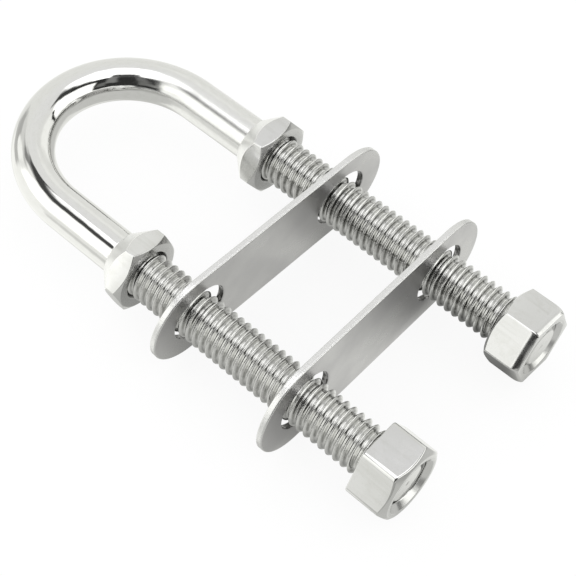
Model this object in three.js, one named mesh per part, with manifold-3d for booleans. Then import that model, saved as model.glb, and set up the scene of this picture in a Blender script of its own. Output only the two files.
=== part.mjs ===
// U-bolt set: a round rod bent to a U with two threaded legs, two shoulder nuts run up
// towards the bow, two oblong clamping plates and two nuts at the free ends.
// Millimetres. The U lies flat: +X runs along the legs from the bow to the free ends,
// +Y across the legs, +Z up, square to the plane of the U. The origin is half way between
// the legs, in the plane of the outer plate's face towards the free ends.
// Left (-Y) and right (+Y) are as seen from the free ends, looking towards the bow.
import * as THREE from "three";
import { mergeVertices } from "three/addons/utils/BufferGeometryUtils.js";
import Module from "manifold-3d";

// ---- driving dimensions -------------------------------------------------------------
// rod and legs
const LEG_SPACING = 37.0; // centre to centre
const ROD_D = 8.6; // plain rod, the pitch diameter that the thread is rolled on
const THREAD_D = 9.45; // over the thread crests, 3/8-16 UNC
const BOW_X = -34.9; // where the straight legs turn into the bow
const BOW_RADIUS = LEG_SPACING / 2; // centreline, across the legs
const BOW_DEPTH = 19.5; // centreline, from BOW_X to the crown
const ROD_RUN = 22; // straight plain rod on each side of the bow
const THREAD_START_X = -19.2; // inside the shoulder nuts
const THREAD_START_D = ROD_D - 0.2; // just inside the rod
const THREAD_RUN_IN = 0.8; // along the axis, from THREAD_START_D to the full thread
const LEG_END_X = 46.1;
const LEG_END_D = 7.6; // small end of the leg's lead-in chamfer
const LEG_END_CHAMFER = 0.75;

// nuts: a hexagon with an internal thread, drawn as a plain bore over the crests
const BORE_D = 9.74;
const COUNTERSINK_D = 10.9;
const SHOULDER_AF = 14.3; // across flats
const SHOULDER_CORNER_NEAR = 0.85; // from the face to where the corner edges begin
const SHOULDER_CORNER_FAR = 2.6; // and to where they end
const SHOULDER_LENGTH = 6.35; // whole length, cone included
const SHOULDER_TIP_D = 10.3; // small end of the cone
const SHOULDER_FACE_D = SHOULDER_AF - 0.2; // round face on the thread side
const END_AF = 13.9;
const END_THICK = 7.6;
const END_CHAMFER = 0.9; // along the axis at the corners, on one side of the nut
const END_FACE_D = 12.9; // round face left by the chamfer

// What differs between the legs: the X of each nut's face towards the free ends, and
// its turn, the degrees a corner stands above +Y.
const LEFT = {
  y: -LEG_SPACING / 2,
  shoulder: { faceX: -13.0, turn: 49.6 },
  end: { faceX: 46.95, turn: 2.1, chamferOutward: true },
};
const RIGHT = {
  y: LEG_SPACING / 2,
  shoulder: { faceX: -13.7, turn: 4.1 },
  end: { faceX: 46.45, turn: 53.97, chamferOutward: false },
};

// plates
const PLATE_THICK = 1.2;
const PLATE_WIDTH = 20.3;
const PLATE_LENGTH = 59.5;
const HOLE_D = 12.0; // clearance holes over the legs
const OUTER_HOLE_SPACING = 37.3;
const INNER_HOLE_SPACING = LEG_SPACING;
const OUTER_OFFSET = { y: 0.55, z: 0.62 }; // the loose plate's rest, in its tilted frame
const OUTER_TILT = { y: 2.3, z: -2.1 }; // degrees out of square, about each axis
const INNER_POSITION = { x: 24.1, y: 0.1, z: 0.1 }; // x is the face towards the end nuts

// cutting shapes
const OVERSHOOT = 1; // how far a bore runs past the nut's faces
const CORNER_CLEARANCE = 0.5; // how far a turned envelope stands outside the corners
const CLEARANCE_RUN = 0.3; // along the axis, to reach that clearance

// facets
const ROD_SEGMENTS = 12; // half the points round the rod
const ROD_STEPS = 64; // along the rod
const LEG_SEGMENTS = 32; // round the threaded legs and the bores
const NUT_SEGMENTS = 48; // round the nuts' cones and chamfers
const PLATE_SEGMENTS = 16; // per plate end, and half the points round a hole

const wasm = await Module();
wasm.setup();

// ---- helpers ------------------------------------------------------------------------
// Closed three.js geometry to a solid, turned right side out if need be.
function solid(geometry) {
  geometry.deleteAttribute("normal");
  geometry.deleteAttribute("uv");
  const merged = mergeVertices(geometry, 1e-4);
  const source = merged.index.array;
  const triangles = [];
  for (let i = 0; i < source.length; i += 3) {
    const [a, b, c] = source.subarray(i, i + 3);
    // merging leaves collapsed triangles where a profile meets its axis
    if (a !== b && b !== c && c !== a) triangles.push([a, b, c]);
  }
  const make = (list) =>
    new wasm.Manifold(
      new wasm.Mesh({
        numProp: 3,
        vertProperties: new Float32Array(merged.attributes.position.array),
        triVerts: new Uint32Array(list.flat()),
      }),
    );
  const made = make(triangles);
  if (made.volume() > 0) return made;
  return make(triangles.map(([a, b, c]) => [b, a, c]));
}

function geometryOf(body) {
  const mesh = body.getMesh();
  const geometry = new THREE.BufferGeometry();
  const positions = new Float32Array(mesh.vertProperties);
  geometry.setAttribute("position", new THREE.BufferAttribute(positions, 3));
  geometry.setIndex(new THREE.BufferAttribute(new Uint32Array(mesh.triVerts), 1));
  geometry.computeVertexNormals();
  return geometry;
}

// A profile of [x, radius] pairs turned about the line along X through (y, z = 0).
function turned(profile, y, segments) {
  const points = profile.map(([x, radius]) => new THREE.Vector2(radius, x));
  const geometry = new THREE.LatheGeometry(points, segments);
  geometry.rotateZ(-Math.PI / 2); // lathe axis Y to X
  geometry.translate(0, y, 0);
  return solid(geometry);
}

// A flat outline in the Y-Z plane, drawn out along +X from startX by depth.
function slab(shape, startX, depth) {
  const geometry = new THREE.ExtrudeGeometry(shape, {
    depth,
    bevelEnabled: false,
    curveSegments: PLATE_SEGMENTS,
  });
  // shape x to Y, shape y to Z, extrusion to X
  const toFrame = new THREE.Matrix4().set(
    0, 0, 1, startX,
    1, 0, 0, 0,
    0, 1, 0, 0,
    0, 0, 0, 1,
  );
  return geometry.applyMatrix4(toFrame);
}

const cornerRadius = (acrossFlats) => acrossFlats / Math.sqrt(3);

function hexagon(acrossFlats, turn, y) {
  const radius = cornerRadius(acrossFlats);
  const corners = [];
  for (let i = 0; i < 6; i++) {
    const angle = THREE.MathUtils.degToRad(turn + 60 * i);
    corners.push(
      new THREE.Vector2(y + radius * Math.cos(angle), radius * Math.sin(angle)),
    );
  }
  const shape = new THREE.Shape(corners);
  shape.closePath();
  return shape;
}

// ---- the bent rod -------------------------------------------------------------------
// Centreline: in along the left leg, round a half ellipse, back along the right leg.
class BowPath extends THREE.Curve {
  getPoint(t, target = new THREE.Vector3()) {
    // approximate length of the half ellipse
    const bend = Math.PI * Math.sqrt((BOW_RADIUS ** 2 + BOW_DEPTH ** 2) / 2);
    const along = t * (bend + 2 * ROD_RUN);
    if (along < ROD_RUN) {
      return target.set(BOW_X + ROD_RUN - along, -BOW_RADIUS, 0);
    }
    if (along > ROD_RUN + bend) {
      return target.set(BOW_X + (along - ROD_RUN - bend), BOW_RADIUS, 0);
    }
    const angle = ((along - ROD_RUN) / bend) * Math.PI;
    return target.set(
      BOW_X - BOW_DEPTH * Math.sin(angle),
      -BOW_RADIUS * Math.cos(angle),
      0,
    );
  }
}

function bentRod() {
  const section = new THREE.Shape();
  section.absarc(0, 0, ROD_D / 2, 0, Math.PI * 2, false);
  return solid(
    new THREE.ExtrudeGeometry(section, {
      steps: ROD_STEPS,
      curveSegments: ROD_SEGMENTS,
      bevelEnabled: false,
      extrudePath: new BowPath(),
    }),
  );
}

// The thread is drawn as a plain cylinder over its crests.
function threadedLeg(y) {
  const profile = [
    [THREAD_START_X, 0],
    [THREAD_START_X, THREAD_START_D / 2],
    [THREAD_START_X + THREAD_RUN_IN, THREAD_D / 2],
    [LEG_END_X - LEG_END_CHAMFER, THREAD_D / 2],
    [LEG_END_X, LEG_END_D / 2],
    [LEG_END_X, 0],
  ];
  return turned(profile, y, LEG_SEGMENTS);
}

function uBolt() {
  return geometryOf(bentRod().add(threadedLeg(LEFT.y)).add(threadedLeg(RIGHT.y)));
}

// ---- nuts ---------------------------------------------------------------------------
// Bore from low to high X, with a 45 degree countersink at high and, if asked, at low.
function bore(low, high, y, sinkLow) {
  const radius = BORE_D / 2;
  const depth = COUNTERSINK_D / 2 - radius;
  const wide = COUNTERSINK_D / 2 + OVERSHOOT;
  const start = low - OVERSHOOT;
  const stop = high + OVERSHOOT;
  const lowEnd = sinkLow ? [[start, wide], [low + depth, radius]] : [[start, radius]];
  const profile = [
    [start, 0],
    ...lowEnd,
    [high - depth, radius],
    [stop, wide],
    [stop, 0],
  ];
  return turned(profile, y, LEG_SEGMENTS);
}

// Shoulder nut: a flat face on the thread side, a long cone from the hexagon down to the
// rod on the bow side.
function shoulderNut({ y, shoulder }) {
  const face = shoulder.faceX;
  const tip = face - SHOULDER_LENGTH;
  const cornerNear = face - SHOULDER_CORNER_NEAR;
  const cornerFar = face - SHOULDER_CORNER_FAR;
  const corner = cornerRadius(SHOULDER_AF);
  const prism = solid(
    slab(hexagon(SHOULDER_AF, shoulder.turn, y), tip, SHOULDER_LENGTH),
  );
  const profile = [
    [tip, 0],
    [tip, SHOULDER_TIP_D / 2],
    [cornerFar, corner],
    [cornerFar + CLEARANCE_RUN, corner + CORNER_CLEARANCE],
    [cornerNear - CLEARANCE_RUN, corner + CORNER_CLEARANCE],
    [cornerNear, corner],
    [face, SHOULDER_FACE_D / 2],
    [face, 0],
  ];
  const envelope = turned(profile, y, NUT_SEGMENTS);
  return geometryOf(prism.intersect(envelope).subtract(bore(tip, face, y, false)));
}

// End nut: chamfered on one side, square-edged on the other.
function endNut({ y, end }) {
  const high = end.faceX;
  const low = high - END_THICK;
  const corner = cornerRadius(END_AF);
  const prism = solid(slab(hexagon(END_AF, end.turn, y), low, END_THICK));

  const [square, chamfered] = end.chamferOutward ? [low, high] : [high, low];
  const inward = Math.sign(square - chamfered);
  const profile = [
    [square, 0],
    [square, corner + CORNER_CLEARANCE],
    [chamfered + inward * (END_CHAMFER + CLEARANCE_RUN), corner + CORNER_CLEARANCE],
    [chamfered + inward * END_CHAMFER, corner],
    [chamfered, END_FACE_D / 2],
    [chamfered, 0],
  ];
  if (!end.chamferOutward) profile.reverse(); // keep the points in order of rising X
  const envelope = turned(profile, y, NUT_SEGMENTS);
  return geometryOf(prism.intersect(envelope).subtract(bore(low, high, y, true)));
}

// ---- plates -------------------------------------------------------------------------
// Round-ended plate with two holes; its face towards the free ends lies at x = 0.
function plate(holeSpacing) {
  const radius = PLATE_WIDTH / 2;
  const endCentre = PLATE_LENGTH / 2 - radius;
  const shape = new THREE.Shape();
  shape.moveTo(-endCentre, -radius);
  shape.lineTo(endCentre, -radius);
  shape.absarc(endCentre, 0, radius, -Math.PI / 2, Math.PI / 2, false);
  shape.lineTo(-endCentre, radius);
  shape.absarc(-endCentre, 0, radius, Math.PI / 2, (Math.PI * 3) / 2, false);
  for (const side of [-1, 1]) {
    const hole = new THREE.Path();
    hole.absarc((side * holeSpacing) / 2, 0, HOLE_D / 2, 0, Math.PI * 2, true);
    shape.holes.push(hole);
  }
  return slab(shape, -PLATE_THICK, PLATE_THICK);
}

// ---- materials ----------------------------------------------------------------------
const chrome = (color) =>
  new THREE.MeshStandardMaterial({ color, roughness: 0.12, metalness: 1.0 });
const satin = (color) =>
  new THREE.MeshStandardMaterial({ color, roughness: 0.35, metalness: 1.0 });

const ROD_COLOR = 0xd9dad6;
const NUT_COLOR = 0xd2d3d0;
const OUTER_PLATE_COLOR = 0xa8a9a6;
const INNER_PLATE_COLOR = 0xb0b1ae;

// ---- assembly -----------------------------------------------------------------------
function piece(name, geometry, material) {
  const mesh = new THREE.Mesh(geometry, material);
  mesh.name = name;
  return mesh;
}

// The outer plate hangs loose on the legs, a little out of square.
function tiltedOuterPlate() {
  const tilted = new THREE.Group();
  tilted.rotation.set(
    0,
    THREE.MathUtils.degToRad(OUTER_TILT.y),
    THREE.MathUtils.degToRad(OUTER_TILT.z),
    "YZX",
  );
  const mesh = piece("outer_plate", plate(OUTER_HOLE_SPACING), satin(OUTER_PLATE_COLOR));
  mesh.position.set(0, OUTER_OFFSET.y, OUTER_OFFSET.z);
  tilted.add(mesh);
  return tilted;
}

function innerPlate() {
  const mesh = piece("inner_plate", plate(INNER_HOLE_SPACING), satin(INNER_PLATE_COLOR));
  mesh.position.copy(INNER_POSITION);
  return mesh;
}

const uBoltSet = new THREE.Group();
uBoltSet.add(
  piece("u_bolt", uBolt(), chrome(ROD_COLOR)),
  piece("shoulder_nut_left", shoulderNut(LEFT), satin(NUT_COLOR)),
  piece("shoulder_nut_right", shoulderNut(RIGHT), satin(NUT_COLOR)),
  tiltedOuterPlate(),
  innerPlate(),
  piece("end_nut_left", endNut(LEFT), satin(NUT_COLOR)),
  piece("end_nut_right", endNut(RIGHT), satin(NUT_COLOR)),
);

export default uBoltSet;
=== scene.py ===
import math

import bpy
import numpy as np
from mathutils import Matrix, Vector


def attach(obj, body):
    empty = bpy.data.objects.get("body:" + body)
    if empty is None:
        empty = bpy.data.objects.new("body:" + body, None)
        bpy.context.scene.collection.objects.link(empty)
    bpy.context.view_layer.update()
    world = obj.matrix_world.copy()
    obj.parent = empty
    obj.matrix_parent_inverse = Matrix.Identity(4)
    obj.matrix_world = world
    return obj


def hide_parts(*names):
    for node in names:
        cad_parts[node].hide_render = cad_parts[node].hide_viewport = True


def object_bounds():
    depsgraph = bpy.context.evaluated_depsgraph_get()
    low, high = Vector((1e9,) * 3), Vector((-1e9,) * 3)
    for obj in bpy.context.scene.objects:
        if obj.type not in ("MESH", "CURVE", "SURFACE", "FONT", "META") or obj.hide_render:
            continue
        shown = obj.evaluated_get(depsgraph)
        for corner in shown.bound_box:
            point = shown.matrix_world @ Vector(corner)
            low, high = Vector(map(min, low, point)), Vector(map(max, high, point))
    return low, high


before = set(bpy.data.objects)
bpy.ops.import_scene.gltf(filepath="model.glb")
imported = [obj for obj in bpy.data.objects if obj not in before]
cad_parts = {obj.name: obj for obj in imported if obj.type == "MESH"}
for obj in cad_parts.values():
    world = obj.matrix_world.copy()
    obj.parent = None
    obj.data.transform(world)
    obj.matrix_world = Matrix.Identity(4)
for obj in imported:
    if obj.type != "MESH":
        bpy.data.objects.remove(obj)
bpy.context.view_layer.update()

# ---- sizes, in millimetres, as in the CAD -------------------------------------------
LEG_Y = [-18.5, 18.5]
ROD_R = 4.3
CREST_R = 4.725
ROOT_R = 3.77
PITCH = 1.5875
SHARP_H = PITCH * math.sqrt(3) / 2
PHASE = [1.48, 1.035]  # where a crest crosses +Y of each leg's axis, along X
BOW_X = -34.9
BOW_DEPTH = 19.5
THREAD_START_X = -19.6
LEG_END_X = 46.1
LEG_END_R = 3.55
LEG_END_CHAMFER = 1.15

SHOULDER_AF = 14.3
SHOULDER_FACE_X = [-13.0, -13.7]
SHOULDER_TURN = [49.6, 4.1]
END_AF = 13.9
END_THICK = 7.6
END_FACE_X = [46.95, 46.45]
END_TURN = [2.1, 53.97]

PLATE_THICK = 1.2
PLATE_WIDTH = 20.3
PLATE_LENGTH = 59.5
HOLE_R = 6.0
OUTER_HOLES = 37.3
INNER_HOLES = 37.0
OUTER_OFFSET = (0.55, 0.62)
OUTER_TILT = (2.1, 2.3)
INNER_FACE_X = 24.1
INNER_OFFSET = (0.1, 0.1)


# ---- mesh helpers -------------------------------------------------------------------
def smooth(t):
    t = np.clip(t, 0.0, 1.0)
    return t * t * (3 - 2 * t)


def soft_min(a, b, k):
    h = np.maximum(k - np.abs(a - b), 0.0) / k
    return np.minimum(a, b) - h * h * k / 4


def soft_max(a, b, k):
    return -soft_min(-a, -b, k)


def make_object(name, verts, faces, attributes=None, sharp=None):
    """A mesh object from millimetre vertices; attributes are per vertex."""
    mesh = bpy.data.meshes.new(name)
    mesh.from_pydata((np.asarray(verts, float) * 0.001).tolist(), [], faces)
    mesh.validate(clean_customdata=False)
    for key, values in (attributes or {}).items():
        values = np.asarray(values, np.float32)
        kind = "FLOAT" if values.ndim == 1 else "FLOAT_VECTOR"
        layer = mesh.attributes.new(key, kind, "POINT")
        layer.data.foreach_set("value" if values.ndim == 1 else "vector", values.ravel())
    mesh.polygons.foreach_set("use_smooth", [True] * len(mesh.polygons))
    mesh.update()
    obj = bpy.data.objects.new(name, mesh)
    bpy.context.scene.collection.objects.link(obj)
    return obj


# ---- the rolled thread --------------------------------------------------------------
def thread_radius(v):
    """Radius of the rod's thread, v pitches from a crest."""
    a = np.abs((v + 0.5) % 1.0 - 0.5)
    sharp = CREST_R + SHARP_H / 8 - math.sqrt(3) * PITCH * a
    r = soft_min(sharp, CREST_R + 0.012, 0.30)
    return soft_max(r, ROOT_R, 0.26)


def rod_radius(x, theta, leg):
    v = (x - PHASE[leg]) / PITCH - theta / (2 * math.pi)
    r = thread_radius(v)
    w = smooth((x + 19.75) / 1.9)
    r = ROD_R + (r - ROD_R) * w
    cone = LEG_END_R + (LEG_END_X - x) * (CREST_R - LEG_END_R) / LEG_END_CHAMFER
    return soft_min(r, cone, 0.10)


ROW_STEPS = [-0.10, -0.05, 0.0, 0.05, 0.10, 0.22, 0.34, 0.42, 0.5, 0.58, 0.66, 0.78]
AROUND = 72
THREAD_FROM = -21.6
THREAD_TO = LEG_END_X - 1.35


def build_rod():
    """The bent rod as one closed skin: bow rings, then each leg's thread as rows that follow the helix."""
    verts, flow, faces = [], [], []
    n = AROUND
    per = len(ROW_STEPS)

    def add(p, s, out, up):
        verts.append(p)
        flow.append((s, out, up))
        return len(verts) - 1

    # centreline stations: left leg, bow, right leg
    straight = np.arange(THREAD_FROM, BOW_X, -1.05)
    count = 150
    stations = [((x, LEG_Y[0], 0.0), (0.0, -1.0, 0.0)) for x in straight]
    for a in np.linspace(0, math.pi, count + 1):
        c = (BOW_X - BOW_DEPTH * math.sin(a), LEG_Y[0] * math.cos(a), 0.0)
        t = (-BOW_DEPTH * math.cos(a), -LEG_Y[0] * math.sin(a), 0.0)
        length = math.hypot(t[0], t[1])
        # the way out of the U: the tangent turned a quarter turn
        stations.append((c, (-t[1] / length, t[0] / length, 0.0)))
    stations += [((x, LEG_Y[1], 0.0), (0.0, 1.0, 0.0)) for x in straight[::-1]]
    rings = []
    s = 0.0
    last = None
    for c, out in stations:
        c = np.array(c)
        out = np.array(out)
        if last is not None:
            s += float(np.linalg.norm(c - last))
        last = c
        ring = []
        for j in range(n):
            a = 2 * math.pi * j / n
            p = c + ROD_R * (math.cos(a) * out + math.sin(a) * np.array((0, 0, 1.0)))
            ring.append(add(p, s, ROD_R * math.cos(a), ROD_R * math.sin(a)))
        rings.append(ring)
    for a, b in zip(rings, rings[1:]):
        for j in range(n):
            k = (j + 1) % n
            faces.append((a[j], a[k], b[k], b[j]))
    total = s

    for leg in (0, 1):
        base = rings[0] if leg == 0 else rings[-1]
        sign = -1 if leg == 0 else 1
        y0 = LEG_Y[leg]
        flat_rows = np.concatenate(
            [np.arange(THREAD_TO + 0.05, LEG_END_X - 0.06, 0.07), [LEG_END_X - 0.045]]
        )
        columns = []
        for j in range(n):
            a = 2 * math.pi * j / n
            theta = math.pi - a if leg == 0 else a
            column = [("ring", base[j], THREAD_FROM)]
            rows = []
            first = int((THREAD_FROM - 4) / PITCH) - 2
            for turn in range(first, int(THREAD_TO / PITCH) + 3):
                for q, step in enumerate(ROW_STEPS):
                    x = PHASE[leg] + PITCH * (turn + step + theta / (2 * math.pi))
                    if THREAD_FROM + 0.12 < x < THREAD_TO - 0.04:
                        rows.append((turn * per + q, x))
            rows.sort(key=lambda e: e[1])
            for key, x in rows:
                r = float(rod_radius(x, theta, leg))
                at = (x, y0 + r * math.cos(theta), r * math.sin(theta))
                along = -(x - THREAD_FROM) if leg == 0 else total + (x - THREAD_FROM)
                column.append((key, add(at, along, r * math.cos(a), r * math.sin(a)), x))
            for q, x in enumerate(flat_rows):
                r = float(rod_radius(x, theta, leg))
                at = (x, y0 + r * math.cos(theta), r * math.sin(theta))
                along = -(x - THREAD_FROM) if leg == 0 else total + (x - THREAD_FROM)
                column.append((("flat", q), add(at, along, r * math.cos(a), r * math.sin(a)), x))
            # over the rounded edge and in across the end face
            for q, (dx, r) in enumerate(
                [(-0.018, 3.545), (0.0, 3.48), (0.0, 3.40), (-0.012, 2.9), (-0.03, 2.1), (-0.045, 1.3), (-0.05, 0.5)]
            ):
                x = LEG_END_X + dx
                at = (x, y0 + r * math.cos(theta), r * math.sin(theta))
                along = -(x - THREAD_FROM + LEG_END_R - r) if leg == 0 else total + (x - THREAD_FROM + LEG_END_R - r)
                column.append((("end", q), add(at, along, r * math.cos(a), r * math.sin(a)), x + LEG_END_R - r))
            columns.append(column)
        tip = add((LEG_END_X - 0.05, y0, 0.0), 0.0, 0.0, 0.0)
        shift = per * sign  # key of the same row one turn round
        for j in range(n):
            k = (j + 1) % n
            wrap = shift if k == 0 else 0
            left, right = columns[j], columns[k]
            where = {e[0]: i for i, e in enumerate(right)}
            i = m = 0
            while i < len(left) - 1 or m < len(right) - 1:
                quad = False
                if i < len(left) - 1 and m < len(right) - 1:
                    key = left[i + 1][0]
                    target = key + wrap if isinstance(key, int) else key
                    quad = where.get(target) == m + 1
                if quad:
                    f = (left[i][1], right[m][1], right[m + 1][1], left[i + 1][1])
                    i += 1
                    m += 1
                elif m >= len(right) - 1 or (
                    i < len(left) - 1 and left[i + 1][2] <= right[m + 1][2]
                ):
                    f = (left[i][1], right[m][1], left[i + 1][1])
                    i += 1
                else:
                    f = (left[i][1], right[m][1], right[m + 1][1])
                    m += 1
                faces.append(f if leg == 1 else f[::-1])
            f = (left[-1][1], right[-1][1], tip)
            faces.append(f if leg == 1 else f[::-1])
    return verts, faces, flow


def orient_outward(obj):
    import bmesh

    bm = bmesh.new()
    bm.from_mesh(obj.data)
    bmesh.ops.recalc_face_normals(bm, faces=bm.faces)
    if bm.calc_volume(signed=True) < 0:
        bmesh.ops.reverse_faces(bm, faces=bm.faces)
    bm.to_mesh(obj.data)
    bm.free()
    obj.data.update()


# ---- nuts ---------------------------------------------------------------------------
def hexagon_columns(across_flats, turn, corner_r):
    """(angle, radius, blend to the corner) round a hexagon with rounded corners."""
    half = across_flats / 2
    dc = (half - corner_r) / math.cos(math.radians(30))
    tangent = math.degrees(math.atan2(dc * 0.5, half))
    out = []
    locals_ = [-30.0]
    step = (30 - tangent) / 3
    locals_ += [-30 + step, -30 + 2 * step, -tangent, -tangent + 0.55]
    locals_ += list(np.linspace(-tangent + 3.2, tangent - 3.2, 11))
    locals_ += [tangent - 0.55, tangent, 30 - 2 * step, 30 - step]
    for k in range(6):
        for b in locals_:
            beta = math.radians(abs(b))
            if abs(b) <= tangent + 1e-6:
                r = half / math.cos(beta)
            else:
                g = math.radians(30) - beta
                r = dc * math.cos(g) + math.sqrt(corner_r**2 - (dc * math.sin(g)) ** 2)
            angle = math.radians(turn + 60 * k + 30 + b)
            out.append((angle, r, max(0.0, (abs(b) - tangent) / (30 - tangent))))
    return out


def fillet(points, radii, steps):
    """Rounds each inner corner of an open polyline of (x, r) points: every corner gives steps + 1 points, every end one."""
    out = [points[0]]
    for i in range(1, len(points) - 1):
        p = np.array(points[i], float)
        a = np.array(points[i - 1], float) - p
        b = np.array(points[i + 1], float) - p
        la, lb = np.linalg.norm(a), np.linalg.norm(b)
        a /= max(la, 1e-9)
        b /= max(lb, 1e-9)
        angle = math.acos(max(-1.0, min(1.0, float(a @ b))))
        cut = radii[i] / math.tan(angle / 2) if angle > 1e-3 else 0.0
        cut = min(cut, (0.9 if i == 1 else 0.47) * la, (0.9 if i == len(points) - 2 else 0.47) * lb)
        p0, p1 = p + a * cut, p + b * cut
        for q in range(steps + 1):
            t = q / steps
            out.append(tuple((1 - t) ** 2 * p0 + 2 * t * (1 - t) * p + t * t * p1))
    out.append(points[-1])
    return out


def nut_thread(x, theta, leg, floor):
    v = (x - PHASE[leg]) / PITCH - theta / (2 * math.pi)
    return soft_max(thread_radius(v) + 0.11, floor, 0.12)


def build_nut(leg, across_flats, turn, x0, x1, outer_profile, bore_floor, corner_r, sink, dark_from):
    """A nut as rings of columns round its axis. outer_profile(hex radius) gives the (x, r) corners with their fillets,
    from the low face's outer edge to the high face's outer edge. The bore is threaded, with a countersink (radius,
    slope) at each end asked for. dark_from is how deep below each face the bore starts to get painted shade, a
    near-black colour, and more roughness."""
    y0 = LEG_Y[leg]
    columns = hexagon_columns(across_flats, turn, corner_r)
    inner_x = np.linspace(x0, x1, int((x1 - x0) / PITCH * 14))
    verts, arc, inside, face = [], [], [], []
    per = 0
    for angle, r_hex, corner in columns:
        corners, radii = outer_profile(r_hex)
        bore = []
        for x in inner_x:
            r = float(nut_thread(x, angle, leg, bore_floor(x)))
            if sink[0]:
                r = float(soft_max(r, sink[0][0] - (x - x0) * sink[0][1], 0.08))
            if sink[1]:
                r = float(soft_max(r, sink[1][0] - (x1 - x) * sink[1][1], 0.08))
            bore.append((x, r))
        # each face: from the bore's mouth out to the outer profile, with rows close to both edges
        r_in, r_out = bore[0][1], corners[0][1]
        face_low = [(x0, r_in + f * (r_out - r_in)) for f in (0.03, 0.10, 0.18)]
        r_in1, r_out1 = bore[-1][1], corners[-1][1]
        face_high = [(x1, r_in1 + f * (r_out1 - r_in1)) for f in (0.18, 0.10, 0.03)]
        skin = fillet(
            [(x0, r_in + 0.25 * (r_out - r_in))] + corners + [(x1, r_in1 + 0.25 * (r_out1 - r_in1))],
            [0] + radii + [0],
            5,
        )
        loop = face_low + skin + face_high + bore[::-1]
        per = len(loop)
        length = 0.0
        for i, (x, r) in enumerate(loop):
            if i:
                length += math.hypot(x - loop[i - 1][0], r - loop[i - 1][1])
            verts.append((x, y0 + r * math.cos(angle), r * math.sin(angle)))
            arc.append((length, math.cos(angle), math.sin(angle)))
            face.append(1.0 if i <= len(face_low) or per - len(bore) - len(face_high) - 1 <= i < per - len(bore) else 0.0)
            # inside is 1 deep in the bore, where the material paints near-black shade and adds roughness
            if i < per - len(bore):
                inside.append(0.0)
            else:
                inside.append(
                    float(smooth((x - x0 - dark_from[0]) / 0.4) * smooth((x1 - x - dark_from[1]) / 0.4))
                )
    verts = np.array(verts)
    n = len(columns)
    assert len(verts) == n * per
    faces = []
    for j in range(n):
        k = (j + 1) % n
        for i in range(per):
            m = (i + 1) % per
            faces.append((j * per + i, j * per + m, k * per + m, k * per + i))
    # 1 where the surface is on a flat of the hexagon, 0 where it is turned
    radial = np.hypot(verts[:, 1] - y0, verts[:, 2])
    hex_r = np.repeat([c[1] for c in columns], per)
    flat = (radial > hex_r - 0.02).astype(float)
    return verts, faces, {"arc": np.array(arc), "flat": flat, "inside": np.array(inside), "face": np.array(face)}


SHOULDER_SLOPE = 0.895
SHOULDER_TIP_R = 4.9


def shoulder_nut(leg):
    face = SHOULDER_FACE_X[leg]
    corner = SHOULDER_AF / math.sqrt(3)
    tip = face - 2.6 - (corner - SHOULDER_TIP_R) / SHOULDER_SLOPE

    def outer(r_hex):
        x_far = face - 2.6 - (corner - r_hex) / SHOULDER_SLOPE
        x_near = face - 0.03 - (r_hex - 7.08) / 1.42
        return (
            [(tip, SHOULDER_TIP_R), (x_far, r_hex), (x_near, r_hex), (face, 6.98)],
            [0.10, 0.20, 0.24, 0.14],
        )

    def bore_floor(x):
        return 4.0 + 0.42 * float(smooth((tip + 2.6 - x) / 1.2))

    verts, faces, attributes = build_nut(
        leg, SHOULDER_AF, SHOULDER_TURN[leg], tip, face, outer, bore_floor, 0.32, (None, (5.25, 0.85)), (0.6, -0.05)
    )
    radial = np.hypot(verts[:, 1] - LEG_Y[leg], verts[:, 2])
    cone_r = SHOULDER_TIP_R + (verts[:, 0] - tip) * SHOULDER_SLOPE
    attributes["cone"] = (np.abs(radial - cone_r) < 0.06).astype(float)
    return verts, faces, attributes


END_CORNER_R = [1.10, 0.38]


def end_nut(leg):
    high = END_FACE_X[leg]
    low = high - END_THICK
    half = END_AF / 2

    def outer(r_hex):
        if leg == 0:  # chamfered side outwards
            return (
                [(low, r_hex), (high - 0.03 - (r_hex - half + 0.50) * 0.60, r_hex), (high, half - 0.50)],
                [0.26, 0.50, 0.55],
            )
        # chamfered side inwards, the outer edge rolled over softly and its corners worn back
        worn = [float(soft_min(r_hex - d, most, 0.25)) for d, most in ((0.05, 8.05), (0.18, 7.84), (0.41, 7.52), (0.50, 7.42))]
        return (
            [
                (low, half - 0.50),
                (low + 0.03 + (r_hex - half + 0.50) * 0.60, r_hex),
                (high - 1.75, r_hex),
                (high - 1.20, worn[0]),
                (high - 0.62, worn[1]),
                (high - 0.12, worn[2]),
                (high, worn[3]),
            ],
            [0.20, 0.22, 9.0, 9.0, 9.0, 0.3, 0.12],
        )

    def bore_floor(x):
        return 4.0

    return build_nut(
        leg,
        END_AF,
        END_TURN[leg],
        low,
        high,
        outer,
        bore_floor,
        END_CORNER_R[leg],
        ((5.4, 1.0), (5.6, 1.0)),
        (0.3, 1.0),
    )


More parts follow.
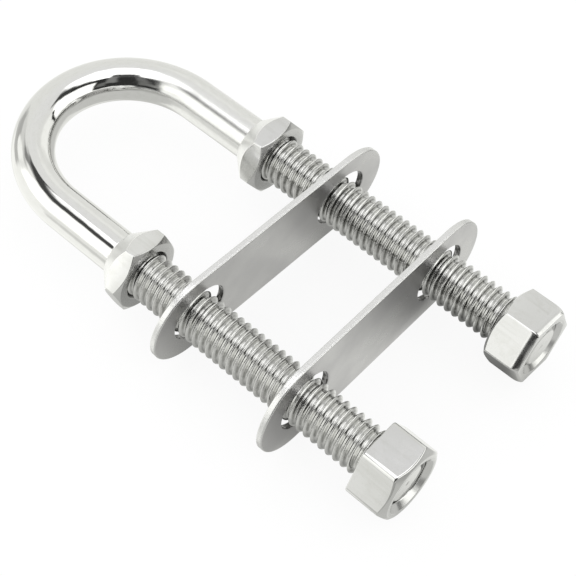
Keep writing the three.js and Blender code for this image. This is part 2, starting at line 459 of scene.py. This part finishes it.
# ---- plates -------------------------------------------------------------------------
def plate_mesh(hole_spacing, seed):
    """An oblong plate with two holes, cut from sheet: the edge is drawn down on one side and square on the other.
    Local frame: slab from x = -thickness to 0, long side along Y."""
    r_end = PLATE_WIDTH / 2
    c = PLATE_LENGTH / 2 - r_end
    half_holes = hole_spacing / 2
    verts, faces, edge, bore = [], [], [], []
    index = {}
    rng = np.random.default_rng(seed)
    wave = rng.uniform(-1, 1, 8)

    def wobble(y, z):
        # rolled sheet is never quite flat
        return 0.018 * (
            wave[0] * math.sin(y * 0.13 + wave[1] * 3)
            + wave[2] * math.sin(z * 0.31 + y * 0.05 + wave[3] * 3)
            + 0.6 * wave[4] * math.sin(y * 0.29 - z * 0.17 + wave[5] * 3)
        )

    def vertex(x, y, z, e, h=0.0):
        key = (round(x, 5), round(y, 5), round(z, 5))
        if key not in index:
            index[key] = len(verts)
            verts.append((x + wobble(y, z), y, z))
            edge.append(e)
            bore.append(h)
        return index[key]

    def outline(hy, a):
        """Where a ray from the hole's centre at angle a leaves the half plate, and the outward direction there if it is a cut edge."""
        dy, dz = math.cos(a), math.sin(a)
        # half plate with y <= 0: hole at (hy, 0), middle line at y = 0
        best = None
        if dy > 1e-9:
            t = -hy / dy
            z = t * dz
            if abs(z) <= r_end + 1e-9:
                best = (t, 0.0, z, None)
        if abs(dz) > 1e-9:
            t = r_end / abs(dz)
            y = hy + t * dy
            if -c - 1e-9 <= y <= 1e-9 and (best is None or t < best[0] - 1e-9):
                best = (t, y, math.copysign(r_end, dz), (0.0, math.copysign(1.0, dz)))
        if best is None:
            # the round end, centre (-c, 0)
            oy = hy + c
            b = oy * dy
            q = oy * oy - r_end * r_end
            t = -b + math.sqrt(b * b - q)
            y, z = hy + t * dy, t * dz
            best = (t, y, z, ((y + c) / r_end, z / r_end))
        return best

    hy = -half_holes
    corner = math.atan2(r_end, -hy)
    side = math.atan2(r_end, -c - hy)
    inner = list(np.linspace(-corner, corner, 29))
    upper = list(np.linspace(corner, side, 17))[1:]
    rest = list(np.linspace(side, 2 * math.pi - side, 49))[1:]
    lower = list(np.linspace(2 * math.pi - side, 2 * math.pi - corner, 17))[1:-1]
    angles = inner + upper + rest + lower
    n = len(angles)
    top_r, low_r = 0.26, 0.10  # drawn-down edge, then the square edge
    arc_steps = 4

    for mirror in (1, -1):
        columns = []
        for a in angles:
            t, y, z, normal = outline(hy, a)
            dy, dz = math.cos(a), math.sin(a)
            column = {}
            cut = normal is not None
            at_corner = abs(abs(a) - corner) < 1e-9 or abs(a - (2 * math.pi - corner)) < 1e-9
            if at_corner:
                y, z = 0.0, math.copysign(r_end, math.sin(a))
                normal = (0.0, math.copysign(1.0, math.sin(a)))
                cut = True
            for face, x, radius, sign in (("far", 0.0, top_r, 1), ("near", -PLATE_THICK, low_r, -1)):
                hole_in = HOLE_R + radius
                if cut:
                    oy, oz = y - normal[0] * radius, z - normal[1] * radius
                else:
                    oy, oz = y, z
                iy, iz = hy + dy * hole_in, dz * hole_in
                line = []
                for f in (0.0, 0.035, 0.12, 0.28, 0.46, 0.64, 0.82, 0.93, 0.98, 1.0):
                    line.append(
                        vertex(x, mirror * (iy + (oy - iy) * f), iz + (oz - iz) * f, 0.0)
                    )
                column[face] = line
            # hole wall, from the far face to the near face
            wall = []
            for q in range(arc_steps + 1):
                b = q / arc_steps * math.pi / 2
                rr = HOLE_R + top_r * (1 - math.sin(b))
                xx = -top_r * (1 - math.cos(b))
                wall.append((xx, rr))
            wall.append((-0.55, HOLE_R - 0.01))
            wall.append((-0.85, HOLE_R + 0.02))
            for q in range(arc_steps + 1):
                b = q / arc_steps * math.pi / 2
                rr = HOLE_R + low_r * (1 - math.cos(b))
                xx = -PLATE_THICK + low_r * (1 - math.sin(b))
                wall.append((xx, rr))
            column["hole"] = [
                vertex(xx, mirror * (hy + dy * rr), dz * rr, 0.0, 1.0 if 1 < k < len(wall) - 1 else 0.0)
                for k, (xx, rr) in enumerate(wall)
            ]
            if cut:
                wall = []
                for q in range(arc_steps + 1):
                    b = q / arc_steps * math.pi / 2
                    wall.append((-top_r * (1 - math.cos(b)), -top_r * (1 - math.sin(b))))
                wall.append((-0.55, 0.0))
                wall.append((-0.85, -0.02))
                for q in range(arc_steps + 1):
                    b = q / arc_steps * math.pi / 2
                    wall.append((-PLATE_THICK + low_r * (1 - math.sin(b)), -low_r * (1 - math.cos(b))))
                column["rim"] = [
                    vertex(xx, mirror * (y + normal[0] * d), z + normal[1] * d, 1.0 if 0 < k < len(wall) - 1 else 0.0)
                    for k, (xx, d) in enumerate(wall)
                ]
            columns.append(column)
        for j in range(n):
            a, b = columns[j], columns[(j + 1) % n]
            for face, flip in (("far", False), ("near", True)):
                for i in range(len(a[face]) - 1):
                    f = (a[face][i], a[face][i + 1], b[face][i + 1], b[face][i])
                    faces.append(f[::-1] if flip else f)
            for i in range(len(a["hole"]) - 1):
                faces.append((a["hole"][i], b["hole"][i], b["hole"][i + 1], a["hole"][i + 1]))
            if "rim" in a and "rim" in b:
                mid = (angles[j] + (angles[(j + 1) % n] if j < n - 1 else angles[0] + 2 * math.pi)) / 2
                if outline(hy, mid)[3] is not None:
                    for i in range(len(a["rim"]) - 1):
                        faces.append((a["rim"][i], a["rim"][i + 1], b["rim"][i + 1], b["rim"][i]))
    faces = [tuple(dict.fromkeys(f)) for f in faces]
    faces = [f for f in faces if len(f) > 2]
    return np.array(verts), faces, {"edge": np.array(edge), "bore": np.array(bore)}


# ---- materials ----------------------------------------------------------------------
class Tree:
    """Short calls for building a node tree."""

    def __init__(self, tree):
        self.tree = tree
        self.nodes = tree.nodes
        self.links = tree.links

    def new(self, kind, **values):
        node = self.nodes.new(kind)
        for key, value in values.items():
            setattr(node, key, value)
        return node

    def put(self, socket, value):
        if isinstance(value, bpy.types.NodeSocket):
            self.links.new(value, socket)
        else:
            socket.default_value = value

    def math(self, operation, a, b=None, c=None, clamp=False):
        node = self.new("ShaderNodeMath", operation=operation, use_clamp=clamp)
        for socket, value in zip(node.inputs, (a, b, c)):
            if value is not None:
                self.put(socket, value)
        return node.outputs[0]

    def ramp(self, value, low, high, out_low=0.0, out_high=1.0):
        node = self.new("ShaderNodeMapRange", interpolation_type="SMOOTHSTEP")
        self.put(node.inputs["Value"], value)
        for key, v in (("From Min", low), ("From Max", high), ("To Min", out_low), ("To Max", out_high)):
            self.put(node.inputs[key], v)
        return node.outputs["Result"]

    def mix(self, factor, a, b):
        node = self.new("ShaderNodeMix", data_type="RGBA")
        self.put(node.inputs["Factor"], factor)
        sockets = [s for s in node.inputs if s.type == "RGBA"]
        for socket, value in zip(sockets, (a, b)):
            if isinstance(value, (tuple, list)):
                socket.default_value = (*value[:3], 1.0)
            elif isinstance(value, (int, float)):
                socket.default_value = (value, value, value, 1.0)
            else:
                self.links.new(value, socket)
        return [s for s in node.outputs if s.type == "RGBA"][0]

    def noise(self, vector, scale, detail=2.0, roughness=0.5, distortion=0.0):
        node = self.new("ShaderNodeTexNoise")
        self.put(node.inputs["Vector"], vector)
        self.put(node.inputs["Scale"], scale)
        self.put(node.inputs["Detail"], detail)
        self.put(node.inputs["Roughness"], roughness)
        self.put(node.inputs["Distortion"], distortion)
        return node.outputs["Fac"]

    def bell(self, value, centre, width):
        d = self.math("DIVIDE", self.math("SUBTRACT", value, centre), width)
        return self.math("EXPONENT", self.math("MULTIPLY", self.math("MULTIPLY", d, d), -1.0))

    def scaled(self, vector, scale):
        node = self.new("ShaderNodeVectorMath", operation="MULTIPLY")
        self.put(node.inputs[0], vector)
        node.inputs[1].default_value = scale
        return node.outputs[0]

    def attribute(self, name):
        node = self.new("ShaderNodeAttribute", attribute_name=name)
        return node


def new_material(name):
    material = bpy.data.materials.new(name)
    material.use_nodes = True
    t = Tree(material.node_tree)
    t.nodes.clear()
    out = t.new("ShaderNodeOutputMaterial")
    bsdf = t.new("ShaderNodeBsdfPrincipled")
    t.links.new(bsdf.outputs[0], out.inputs["Surface"])
    bsdf.inputs["Metallic"].default_value = 1.0
    return material, t, bsdf, out


def bump(t, bsdf, layers):
    """Chains bump layers of (height, distance in metres, strength)."""
    normal = None
    for height, distance, strength in layers:
        node = t.new("ShaderNodeBump")
        t.put(node.inputs["Height"], height)
        node.inputs["Distance"].default_value = distance
        node.inputs["Strength"].default_value = strength
        if normal is not None:
            t.links.new(normal, node.inputs["Normal"])
        normal = node.outputs[0]
    t.links.new(normal, bsdf.inputs["Normal"])


def rod_material():
    """Polished rod: mirror finish with faint polishing lines along the rod and fine scuffs, with painted shade
    darkening the low thread flanks and, slightly, the thread roots.
    """
    material, t, bsdf, _ = new_material("polished_rod")
    flow = t.attribute("flow").outputs["Vector"]
    depth = t.attribute("depth").outputs["Fac"]
    threaded = t.attribute("threaded").outputs["Fac"]
    lines = t.noise(t.scaled(flow, (0.10, 6.0, 6.0)), 1.0, 3.0, 0.6)
    scuffs = t.noise(t.scaled(flow, (0.6, 1.4, 1.4)), 1.0, 4.0, 0.65)
    grain = t.noise(flow, 9.0, 2.0, 0.5)
    orange = t.noise(t.scaled(flow, (0.35, 0.5, 0.5)), 1.0, 1.0, 0.4)
    rough = t.math("ADD", t.ramp(scuffs, 0.45, 0.75, 0.045, 0.10), t.math("MULTIPLY", threaded, 0.07))
    # the right leg is polished less finely than the left one
    split = t.new("ShaderNodeSeparateXYZ")
    t.put(split.inputs[0], t.new("ShaderNodeTexCoord").outputs["Object"])
    dull = t.math("MULTIPLY", t.ramp(split.outputs[0], -0.052, -0.032), t.ramp(split.outputs[1], 0.004, 0.014))
    dull = t.math("MULTIPLY", dull, t.math("SUBTRACT", 1.0, threaded))
    rough = t.math("ADD", rough, t.math("MULTIPLY", dull, 0.17))
    t.put(bsdf.inputs["Roughness"], rough)
    tone = t.mix(t.ramp(scuffs, 0.35, 0.7), (0.71, 0.71, 0.70), (0.68, 0.68, 0.665))
    # painted shade: dark lines low on the flanks of the thread, in a mottled strength, stronger on the right leg than
    # on the left
    flank_shade_mottle = t.ramp(t.noise(t.scaled(flow, (0.9, 0.8, 0.8)), 1.0, 3.0, 0.6), 0.35, 0.65, 0.28, 0.62)
    low_flank = t.math("MULTIPLY", t.bell(depth, 0.56, 0.17), threaded)
    low_flank = t.math("MULTIPLY", low_flank, t.ramp(split.outputs[1], -0.004, 0.004, 0.74, 1.36))
    tone = t.mix(t.math("MULTIPLY", low_flank, flank_shade_mottle), tone, (0.13, 0.13, 0.12))
    # painted shade: the thread roots a little darker
    tone = t.mix(t.math("MULTIPLY", t.ramp(depth, 0.7, 1.0), t.math("MULTIPLY", threaded, 0.15)), tone, (0.3, 0.3, 0.29))
    t.put(bsdf.inputs["Base Color"], tone)
    bump(
        t,
        bsdf,
        [
            (orange, 0.00006, 0.35),
            (lines, 0.0000035, 0.6),
            (grain, 0.0000025, 0.5),
        ],
    )
    return material


def nut_material():
    """Polished nut: fine turning rings on the faces and cone, drawn lines along the flats, soft dents and dulled edges."""
    material, t, bsdf, _ = new_material("nut_steel")
    arc = t.attribute("arc").outputs["Vector"]
    flat = t.attribute("flat").outputs["Fac"]
    inside = t.attribute("inside").outputs["Fac"]
    place = t.new("ShaderNodeTexCoord").outputs["Object"]
    rings = t.noise(t.scaled(arc, (11.0, 0.25, 0.25)), 1.0, 2.0, 0.6)
    drawn = t.noise(t.scaled(place, (180.0, 5200.0, 5200.0)), 1.0, 2.0, 0.6)
    scuffs = t.noise(place, 330.0, 4.0, 0.62)
    clouds = t.noise(place, 120.0, 2.0, 0.5)
    geometry = t.new("ShaderNodeNewGeometry")
    worn = t.ramp(geometry.outputs["Pointiness"], 0.52, 0.60)
    rough = t.ramp(scuffs, 0.42, 0.72, 0.085, 0.17)
    rough = t.math("ADD", rough, t.math("MULTIPLY", t.math("SUBTRACT", 1.0, flat), 0.05))
    cone = t.attribute("cone").outputs["Fac"]
    face = t.attribute("face").outputs["Fac"]
    rough = t.math("ADD", rough, t.math("MULTIPLY", inside, 0.15))
    rough = t.math("ADD", rough, t.math("MULTIPLY", face, 0.16))
    rough = t.math("ADD", rough, t.math("MULTIPLY", cone, 0.16))
    t.put(bsdf.inputs["Roughness"], rough)
    tone = t.mix(t.ramp(clouds, 0.35, 0.7), (0.645, 0.645, 0.64), (0.61, 0.61, 0.60))
    # faint streaks drawn along the flats
    streaks = t.noise(t.scaled(place, (45.0, 520.0, 520.0)), 1.0, 3.0, 0.6)
    tone = t.mix(t.math("MULTIPLY", t.ramp(streaks, 0.50, 0.70), t.math("MULTIPLY", flat, 0.32)), tone, (0.50, 0.50, 0.475))
    # pale water stains
    stains = t.ramp(t.noise(place, 620.0, 3.0, 0.6), 0.52, 0.68)
    tone = t.mix(t.math("MULTIPLY", stains, t.math("MULTIPLY", flat, 0.22)), tone, (0.53, 0.53, 0.50))
    tone = t.mix(t.math("MULTIPLY", cone, 0.9), tone, (0.86, 0.86, 0.85))
    tone = t.mix(t.math("MULTIPLY", worn, 0.4), tone, (0.74, 0.74, 0.73))
    # painted shade: deep in the bore the colour goes near-black
    tone = t.mix(t.math("MULTIPLY", inside, 0.88), tone, (0.08, 0.08, 0.075))
    t.put(bsdf.inputs["Base Color"], tone)
    ringed = t.math("MULTIPLY", t.math("MULTIPLY", rings, t.math("SUBTRACT", 1.0, flat)), t.math("SUBTRACT", 1.0, t.math("MULTIPLY", cone, 0.75)))
    lined = t.math("MULTIPLY", drawn, flat)
    bump(
        t,
        bsdf,
        [
            (t.math("MULTIPLY", clouds, t.math("SUBTRACT", 1.0, cone)), 0.00008, 0.25),
            (ringed, 0.000003, 0.6),
            (lined, 0.0000025, 0.6),
            (t.math("MULTIPLY", scuffs, t.math("SUBTRACT", 1.0, t.math("MULTIPLY", cone, 0.8))), 0.000008, 0.35),
        ],
    )
    return material


def plate_material():
    """Satin cold-rolled sheet: rolling lines along the plate, fine grain, brighter sheared edge with tear marks."""
    material, t, bsdf, _ = new_material("plate_steel")
    place = t.new("ShaderNodeTexCoord").outputs["Object"]
    edge = t.attribute("edge").outputs["Fac"]
    bore = t.attribute("bore").outputs["Fac"]
    rolled = t.noise(t.scaled(place, (900.0, 60.0, 5200.0)), 1.0, 3.0, 0.62)
    grain = t.noise(place, 5200.0, 2.0, 0.55)
    clouds = t.noise(place, 95.0, 3.0, 0.55)
    tears = t.noise(t.scaled(place, (500.0, 4200.0, 4200.0)), 1.0, 3.0, 0.7)
    face = t.math("SUBTRACT", 1.0, edge)
    rough = t.math("ADD", t.ramp(clouds, 0.3, 0.7, 0.26, 0.36), t.math("MULTIPLY", edge, -0.06))
    t.put(bsdf.inputs["Roughness"], rough)
    tone = t.mix(t.ramp(clouds, 0.3, 0.7), (0.569, 0.565, 0.561), (0.531, 0.526, 0.529))
    tone = t.mix(t.math("MULTIPLY", grain, 0.10), tone, (0.42, 0.42, 0.41))
    tone = t.mix(t.math("MULTIPLY", edge, 0.8), tone, (0.70, 0.70, 0.695))
    # the punched hole: bright burnished part, dark torn part
    torn = t.ramp(t.noise(t.scaled(place, (900.0, 480.0, 480.0)), 1.0, 2.0, 0.6), 0.36, 0.52)
    tone = t.mix(t.math("MULTIPLY", bore, t.math("MULTIPLY", torn, 0.92)), tone, (0.05, 0.05, 0.045))
    t.put(bsdf.inputs["Base Color"], tone)
    bump(
        t,
        bsdf,
        [
            (t.math("MULTIPLY", rolled, face), 0.000003, 0.20),
            (t.math("MULTIPLY", grain, edge), 0.000006, 0.40),
            (t.math("MULTIPLY", tears, t.math("MAXIMUM", edge, bore)), 0.00006, 0.7),
        ],
    )
    return material


# ---- studio light -------------------------------------------------------------------
def srgb(v):
    v = v / 255.0
    return v / 12.92 if v <= 0.04045 else ((v + 0.055) / 1.055) ** 2.4


# Soft light boxes, gaps and dark openings round the object, as (azimuth from, to, elevation from, to, softness in degrees, sRGB level).
# Azimuth 0 is +X and 90 is +Y. Later ones lie over earlier ones.
CARDS = [
    (-190, -110, -66, 10, 12, 240),
    (-120, -106, -35, -10, 6, 203),
    (104, 176, -60, 71, 8, 219),
    (62, 110, -6, 64, 6, 217),
    (66, 100, 4, 34, 10, 238),
    (-155, -88, 4, 48, 5, 272),
    (-6, 64, 9, 52, 5, 272),
    (-95, 30, -14, 8, 8, 168),
    (-60, -38, -10, 0, 8, 140),
    (-28, -14, -10, 4, 6, 138),
    (8, 40, -6, 9, 10, 150),
    (38, 80, -9, 4, 7, 120),
    (74, 106, -13, -2, 6, 124),
    (-186, -163, -14, 4, 7, 146),
    (171, 200, -15, 34, 8, 182),
    (-192, -169, 4, 34, 6, 205),
    (-192, -174, -4, 16, 6, 170),
    (-176, -160, 4, 27, 6, 240),
    (-185, -168, 34, 46, 8, 130),
    (-192, -127, 45, 60, 6, 66),
    (-128, -86, 50, 61, 6, 170),
    (-92, -62, 42, 61, 4, 58),
    (-24, 60, 48, 59, 5, 46),
    (40, 76, 48, 61, 7, 60),
    (-87, -3, 13, 60, 3, 44),
    (-71, -21, 58, 73, 5, 70),
    (-86, -70, 6, 30, 6, 130),
    (-75, -61, 8, 60, 5, 104),
    (-33, -19, 34, 64, 6, 122),
    (-20, -8, 24, 40, 6, 104),
    (60, 65, 4, 32, 2, 34),
    (-54, -22, 4, 12, 4, 222),
    (-86, -56, 7, 19, 3, 40),
    (-124, -96, -14, -2, 6, 226),
    (-113, -94, 8, 22, 6, 247),
    (112, 128, 30, 44, 8, 228),
    (-122, -99, 46, 64, 5, 238),
    (50, 112, -88, -42, 14, 216),
    (30, 48, -56, -38, 16, 192),
]


def tent_group():
    """Node group: a direction in, the light of the soft boxes in that direction out."""
    group = bpy.data.node_groups.new("tent", "ShaderNodeTree")
    group.interface.new_socket(name="Direction", in_out="INPUT", socket_type="NodeSocketVector")
    group.interface.new_socket(name="Color", in_out="OUTPUT", socket_type="NodeSocketColor")
    t = Tree(group)
    direction = t.new("NodeGroupInput").outputs[0]
    out = t.new("NodeGroupOutput")
    wobble = t.new("ShaderNodeTexNoise")
    t.put(wobble.inputs["Vector"], direction)
    wobble.inputs["Scale"].default_value = 5.5
    wobble.inputs["Detail"].default_value = 3.0
    split = t.new("ShaderNodeSeparateXYZ")
    t.put(split.inputs[0], direction)
    x, y, z = split.outputs[0], split.outputs[1], split.outputs[2]
    azimuth = t.math("MULTIPLY", t.math("ARCTAN2", y, x), 180 / math.pi)
    flat = t.math("SQRT", t.math("ADD", t.math("MULTIPLY", x, x), t.math("MULTIPLY", y, y)))
    elevation = t.math("MULTIPLY", t.math("ARCTAN2", z, flat), 180 / math.pi)
    parts = t.new("ShaderNodeSeparateColor")
    t.put(parts.inputs[0], wobble.outputs["Color"])
    azimuth = t.math("ADD", azimuth, t.math("MULTIPLY", t.math("SUBTRACT", parts.outputs[0], 0.5), 9.0))
    elevation = t.math("ADD", elevation, t.math("MULTIPLY", t.math("SUBTRACT", parts.outputs[1], 0.5), 9.0))
    low_level = t.ramp(elevation, -50.0, -14.0, srgb(188), srgb(190))
    high_level = t.ramp(elevation, 56.0, 66.0, srgb(236), srgb(300))
    level = t.mix(t.ramp(elevation, -6.0, 14.0), low_level, high_level)
    for a0, a1, e0, e1, soft, value in CARDS:
        mask = None
        for wrap in (0, 360, -360):
            lo, hi = a0 + wrap, a1 + wrap
            if hi < -185 or lo > 185:
                continue
            m = t.math(
                "MULTIPLY",
                t.ramp(azimuth, lo - soft / 2, lo + soft / 2),
                t.ramp(azimuth, hi - soft / 2, hi + soft / 2, 1.0, 0.0),
            )
            mask = m if mask is None else t.math("MAXIMUM", mask, m)
        m = t.math(
            "MULTIPLY",
            t.ramp(elevation, e0 - soft / 2, e0 + soft / 2),
            t.ramp(elevation, e1 - soft / 2, e1 + soft / 2, 1.0, 0.0),
        )
        level = t.mix(t.math("MULTIPLY", mask, m), level, srgb(value))
    warm = t.mix(t.ramp(elevation, 30.0, 75.0), (0.996, 1.0, 0.966), (1.0, 1.0, 1.0))
    tint = t.new("ShaderNodeMix", data_type="RGBA", blend_type="MULTIPLY")
    tint.inputs["Factor"].default_value = 1.0
    sockets = [s for s in tint.inputs if s.type == "RGBA"]
    t.links.new(level, sockets[0])
    t.links.new(warm, sockets[1])
    t.links.new([s for s in tint.outputs if s.type == "RGBA"][0], out.inputs[0])
    return group


TENT_STRENGTH = 1.43


def studio(tent):
    """World light: an even white room for the floor and the view, and for reflections a tent of soft boxes with dark gaps."""
    world = bpy.data.worlds.new("studio")
    bpy.context.scene.world = world
    world.use_nodes = True
    t = Tree(world.node_tree)
    t.nodes.clear()
    out = t.new("ShaderNodeOutputWorld")
    boxes = t.new("ShaderNodeGroup", node_tree=tent)
    t.put(boxes.inputs[0], t.new("ShaderNodeTexCoord").outputs["Generated"])
    light = t.new("ShaderNodeBackground")
    t.put(light.inputs["Color"], boxes.outputs[0])
    light.inputs["Strength"].default_value = TENT_STRENGTH
    room = t.new("ShaderNodeBackground")
    room.inputs["Color"].default_value = (1.0, 1.0, 1.0, 1.0)
    room.inputs["Strength"].default_value = 1.06
    path = t.new("ShaderNodeLightPath")
    pick = t.new("ShaderNodeMixShader")
    t.links.new(path.outputs["Is Glossy Ray"], pick.inputs[0])
    t.links.new(room.outputs[0], pick.inputs[1])
    t.links.new(light.outputs[0], pick.inputs[2])
    t.links.new(pick.outputs[0], out.inputs["Surface"])


def floor_material(tent):
    """Pale board with a very faint mottle. In reflections it carries the tent's light, shaded under the legs, nuts and between the
    plates. From below it lets the view through."""
    material = bpy.data.materials.new("floor")
    material.use_nodes = True
    t = Tree(material.node_tree)
    t.nodes.clear()
    out = t.new("ShaderNodeOutputMaterial")
    bsdf = t.new("ShaderNodeBsdfPrincipled")
    place = t.new("ShaderNodeTexCoord").outputs["Object"]
    mottle = t.noise(place, 14.0, 4.0, 0.6)
    t.put(bsdf.inputs["Base Color"], t.mix(mottle, (0.105, 0.105, 0.105), (0.125, 0.125, 0.125)))
    bsdf.inputs["Roughness"].default_value = 0.85
    bsdf.inputs["Specular IOR Level"].default_value = 0.1
    bsdf.inputs["Emission Color"].default_value = (1.0, 1.0, 1.0, 1.0)
    bsdf.inputs["Emission Strength"].default_value = 0.889

    geometry = t.new("ShaderNodeNewGeometry")
    boxes = t.new("ShaderNodeGroup", node_tree=tent)
    t.put(boxes.inputs[0], t.scaled(geometry.outputs["Incoming"], (-1.0, -1.0, -1.0)))
    split = t.new("ShaderNodeSeparateXYZ")
    t.put(split.inputs[0], geometry.outputs["Position"])
    x, y = split.outputs[0], split.outputs[1]
    clear_share = 1.0

    def shade(amount, *factors):
        nonlocal clear_share
        s = amount
        for f in factors:
            s = t.math("MULTIPLY", s, f)
        clear_share = t.math("MULTIPLY", clear_share, t.math("SUBTRACT", 1.0, s))

    along = t.math("MULTIPLY", t.ramp(x, -0.016, -0.010), t.ramp(x, 0.045, 0.051, 1.0, 0.0))
    for y0, nut_shade in ((-0.0185, 0.35), (0.0185, 0.40)):
        shade(LEG_SHADE, along, t.bell(y, y0, 0.0055))
        shade(nut_shade, t.bell(x, 0.0425, 0.0055), t.bell(y, y0, 0.0080))
        shade(0.16, t.bell(x, -0.0150, 0.0060), t.bell(y, y0, 0.0085))
    shade(0.14, t.ramp(x, -0.016, -0.008), t.ramp(x, 0.021, 0.025, 1.0, 0.0), t.ramp(y, -0.040, -0.026), t.ramp(y, 0.026, 0.040, 1.0, 0.0))
    shade(0.06, t.bell(x, -0.001, 0.0035), t.ramp(y, -0.034, -0.026), t.ramp(y, 0.026, 0.034, 1.0, 0.0))
    shade(0.54, t.ramp(x, 0.0240, 0.0265), t.ramp(x, 0.041, 0.047, 1.0, 0.0), t.ramp(y, -0.004, 0.017), t.ramp(y, 0.022, 0.030, 1.0, 0.0))
    shade(0.24, t.ramp(x, 0.0235, 0.0255), t.ramp(x, 0.031, 0.036, 1.0, 0.0), t.ramp(y, -0.036, -0.028), t.ramp(y, -0.016, -0.010, 1.0, 0.0))
    glow = t.new("ShaderNodeEmission")
    t.put(glow.inputs["Color"], boxes.outputs[0])
    t.put(glow.inputs["Strength"], t.math("MULTIPLY", clear_share, TENT_STRENGTH))

    path = t.new("ShaderNodeLightPath")
    top = t.new("ShaderNodeMixShader")
    t.links.new(path.outputs["Is Glossy Ray"], top.inputs[0])
    t.links.new(bsdf.outputs[0], top.inputs[1])
    t.links.new(glow.outputs[0], top.inputs[2])
    clear = t.new("ShaderNodeBsdfTransparent")
    pick = t.new("ShaderNodeMixShader")
    t.links.new(geometry.outputs["Backfacing"], pick.inputs[0])
    t.links.new(top.outputs[0], pick.inputs[1])
    t.links.new(clear.outputs[0], pick.inputs[2])
    t.links.new(pick.outputs[0], out.inputs["Surface"])
    return material


LEG_SHADE = 0.44


# ---- camera -------------------------------------------------------------------------
def camera():
    rot = (2.2518, 0.9385, -0.4166)
    trans = np.array((4.4276, 4.1221, 33.8974)) * 9.45
    focal, cx, cy = 1756.7273, 39.8663, 43.3701
    angle = math.sqrt(sum(v * v for v in rot))
    k = np.array(rot) / angle
    kx = np.array([[0, -k[2], k[1]], [k[2], 0, -k[0]], [-k[1], k[0], 0]])
    r = np.eye(3) + math.sin(angle) * kx + (1 - math.cos(angle)) * kx @ kx
    place = -r.T @ trans * 0.001
    data = bpy.data.cameras.new("camera")
    data.sensor_fit = "HORIZONTAL"
    data.sensor_width = 36.0
    data.lens = 36.0 * focal / 576.0
    data.clip_start = 0.01
    data.clip_end = 20.0
    obj = bpy.data.objects.new("camera", data)
    bpy.context.scene.collection.objects.link(obj)
    m = Matrix.Identity(4)
    for i in range(3):
        m[i][0], m[i][1], m[i][2] = r[0][i], -r[1][i], -r[2][i]
        m[i][3] = place[i]
    obj.matrix_world = m
    bpy.context.scene.camera = obj
    # the off-centre lens belongs to this distance from the rod's origin only: from further off the camera looks straight on
    far = float(np.linalg.norm(place))
    for path, shift in (("shift_x", (288.0 - cx) / 576.0), ("shift_y", (cy - 288.0) / 576.0)):
        curve = data.driver_add(path)
        curve.driver.type = "AVERAGE"
        where = curve.driver.variables.new()
        where.type = "LOC_DIFF"
        where.targets[0].id = obj
        where.targets[1].id = rod
        for modifier in list(curve.modifiers):
            curve.modifiers.remove(modifier)
        while len(curve.keyframe_points):
            curve.keyframe_points.remove(curve.keyframe_points[-1])
        for change, part in ((-0.040, 0.0), (-0.018, 1.0), (0.018, 1.0), (0.040, 0.0)):
            point = curve.keyframe_points.insert(far + change, shift * part)
            point.interpolation = "LINEAR"
        curve.extrapolation = "CONSTANT"


# ---- build --------------------------------------------------------------------------
rod_steel = rod_material()
nut_steel = nut_material()
plate_steel = plate_material()


def finish_piece(obj, material, body):
    obj.data.materials.append(material)
    orient_outward(obj)
    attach(obj, body)
    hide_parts(body)
    return obj


verts, faces, flow = build_rod()
verts = np.array(verts)
radial = np.minimum(
    np.hypot(verts[:, 1] - LEG_Y[0], verts[:, 2]), np.hypot(verts[:, 1] - LEG_Y[1], verts[:, 2])
)
on_thread = smooth((verts[:, 0] + 19.8) / 1.5) * smooth((LEG_END_X - 0.7 - verts[:, 0]) / 0.4)
depth = np.clip((CREST_R - radial) / (CREST_R - ROOT_R), 0, 1) * on_thread
rod = make_object(
    "bent_rod", verts, faces, {"flow": np.array(flow), "depth": depth, "threaded": on_thread}
)
finish_piece(rod, rod_steel, "u_bolt")

for leg, side in enumerate(("left", "right")):
    verts, faces, attributes = shoulder_nut(leg)
    finish_piece(
        make_object("shoulder_nut_%s_steel" % side, verts, faces, attributes),
        nut_steel,
        "shoulder_nut_%s" % side,
    )
    verts, faces, attributes = end_nut(leg)
    finish_piece(
        make_object("end_nut_%s_steel" % side, verts, faces, attributes),
        nut_steel,
        "end_nut_%s" % side,
    )

verts, faces, attributes = plate_mesh(OUTER_HOLES, 11)
verts[:, 1] += OUTER_OFFSET[0]
verts[:, 2] += OUTER_OFFSET[1]
about_y = Matrix.Rotation(math.radians(OUTER_TILT[1]), 3, "Y")
about_z = Matrix.Rotation(-math.radians(OUTER_TILT[0]), 3, "Z")
verts = verts @ np.array(about_y @ about_z).T
finish_piece(
    make_object("outer_plate_sheet", verts, faces, attributes), plate_steel, "outer_plate"
)
verts, faces, attributes = plate_mesh(INNER_HOLES, 23)
verts[:, 0] += INNER_FACE_X
verts[:, 1] += INNER_OFFSET[0]
verts[:, 2] += INNER_OFFSET[1]
finish_piece(
    make_object("inner_plate_sheet", verts, faces, attributes), plate_steel, "inner_plate"
)

# floor just under the lowest plate edge
low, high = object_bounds()
span = 2.0
mesh = bpy.data.meshes.new("floor")
steps = 8
grid = [
    (-span + 2 * span * i / steps, -span + 2 * span * j / steps, 0.0)
    for i in range(steps + 1)
    for j in range(steps + 1)
]
quads = [
    (i * (steps + 1) + j, (i + 1) * (steps + 1) + j, (i + 1) * (steps + 1) + j + 1, i * (steps + 1) + j + 1)
    for i in range(steps)
    for j in range(steps)
]
mesh.from_pydata(grid, [], quads)
floor = bpy.data.objects.new("floor", mesh)
floor.location = (0.0, 0.0, low[2] - 0.0002)
bpy.context.scene.collection.objects.link(floor)
tent = tent_group()
floor.data.materials.append(floor_material(tent))

studio(tent)
camera()
bpy.context.scene.view_settings.view_transform = "Standard"
bpy.context.scene.view_settings.look = "None"
